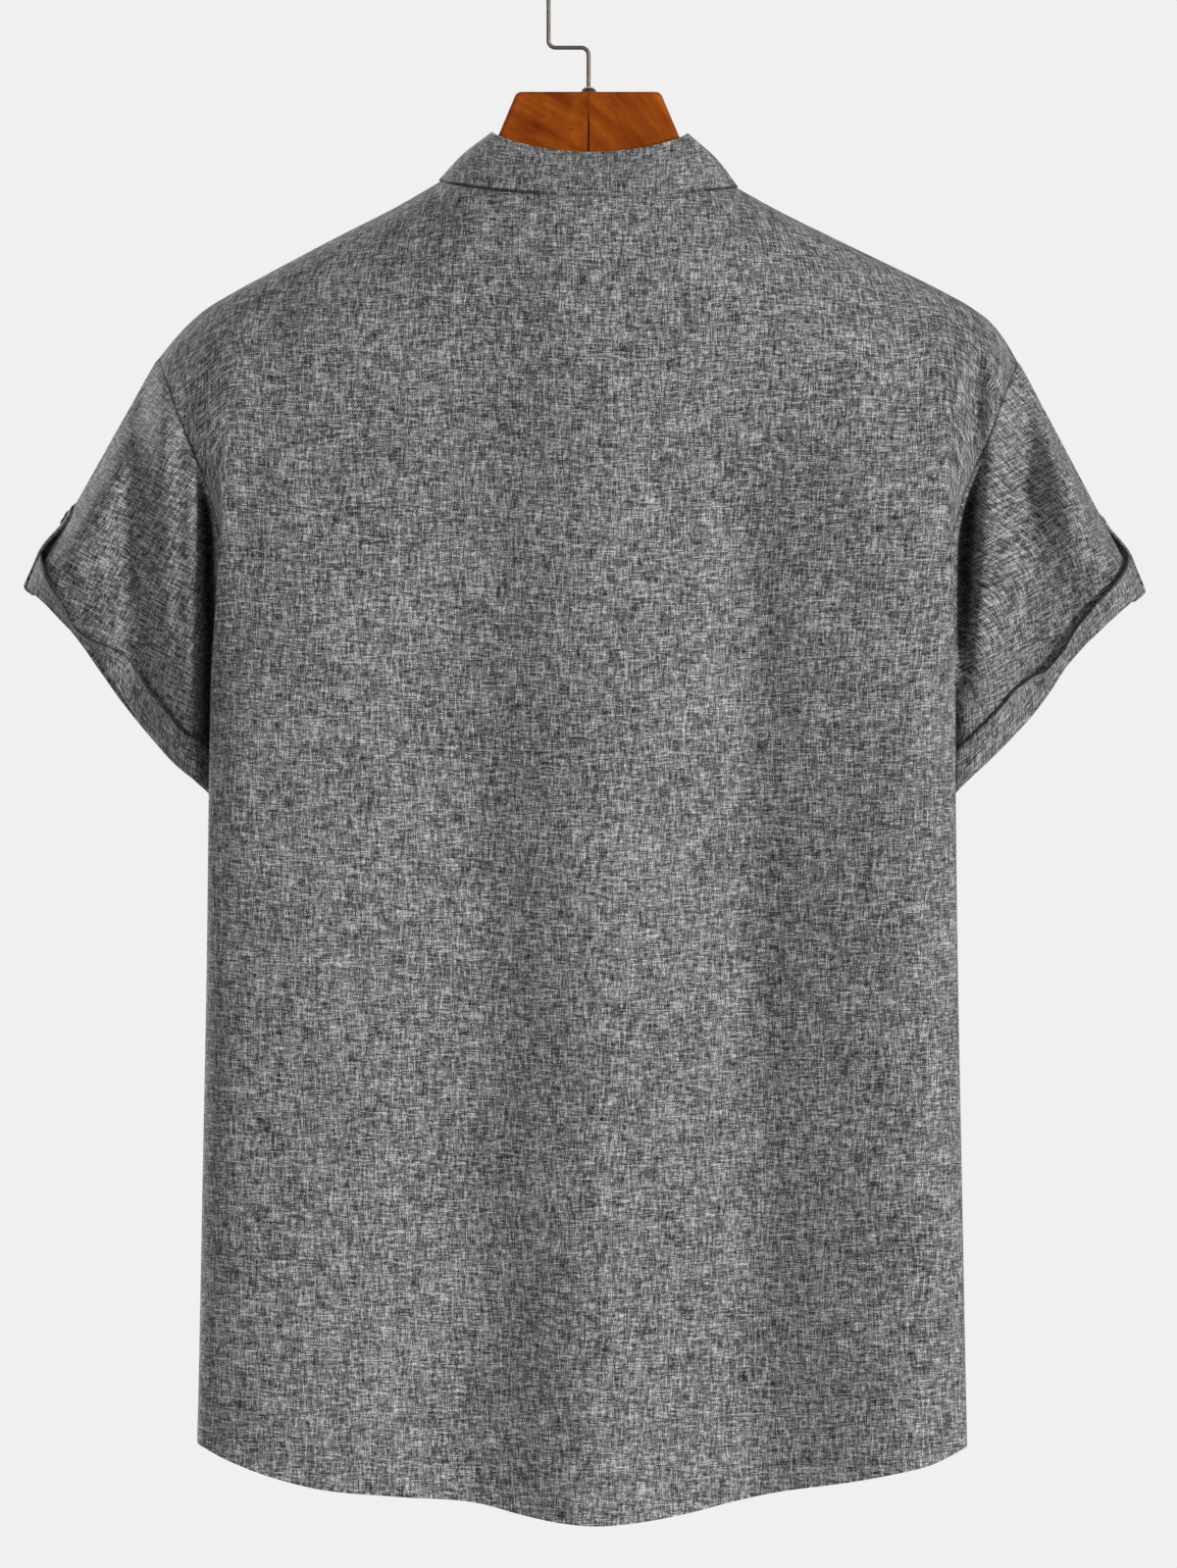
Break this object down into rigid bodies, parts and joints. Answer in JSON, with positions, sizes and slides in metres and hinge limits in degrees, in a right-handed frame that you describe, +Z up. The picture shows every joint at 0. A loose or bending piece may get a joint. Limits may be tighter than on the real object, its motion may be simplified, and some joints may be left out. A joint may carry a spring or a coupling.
{
  "type": "mandarin collar shirt on hanger",
  "caption": "Short-sleeved shirt with a band collar, turned-up cuffs and a curved hem, hanging open and hollow from a wooden hanger with a wire hook.",
  "frame": {"origin": "underside of the hook's crown, where a rail carries the hanger", "axes": "+Z up; the shirt's front faces -Y and its back +Y, so the wearer's left is +X"},
  "size_m": [0.6262, 0.1824, 0.8724],
  "materials": {
    "cloth": "matt grey melange plain weave with dark and light slubs",
    "button": "dark grey satin",
    "wood": "red-brown varnish",
    "metal": "satin nickel"
  },
  "bodies": {
    "root": {"back": "cloth", "front_left": "cloth", "front_right": "cloth", "placket": "cloth", "collar": "cloth", "sleeve_left": "cloth", "sleeve_right": "cloth", "cuff_left": "cloth", "cuff_right": "cloth", "tab_left": "cloth", "tab_right": "cloth", "tab_button_left": "button", "tab_button_right": "button", "button_collar": "button", "button_1": "button", "button_2": "button", "button_3": "button", "button_4": "button", "button_5": "button", "button_6": "button", "hanger_left": "wood", "hanger_right": "wood", "washer": "metal", "hook": "metal"}
  },
  "joints": []
}
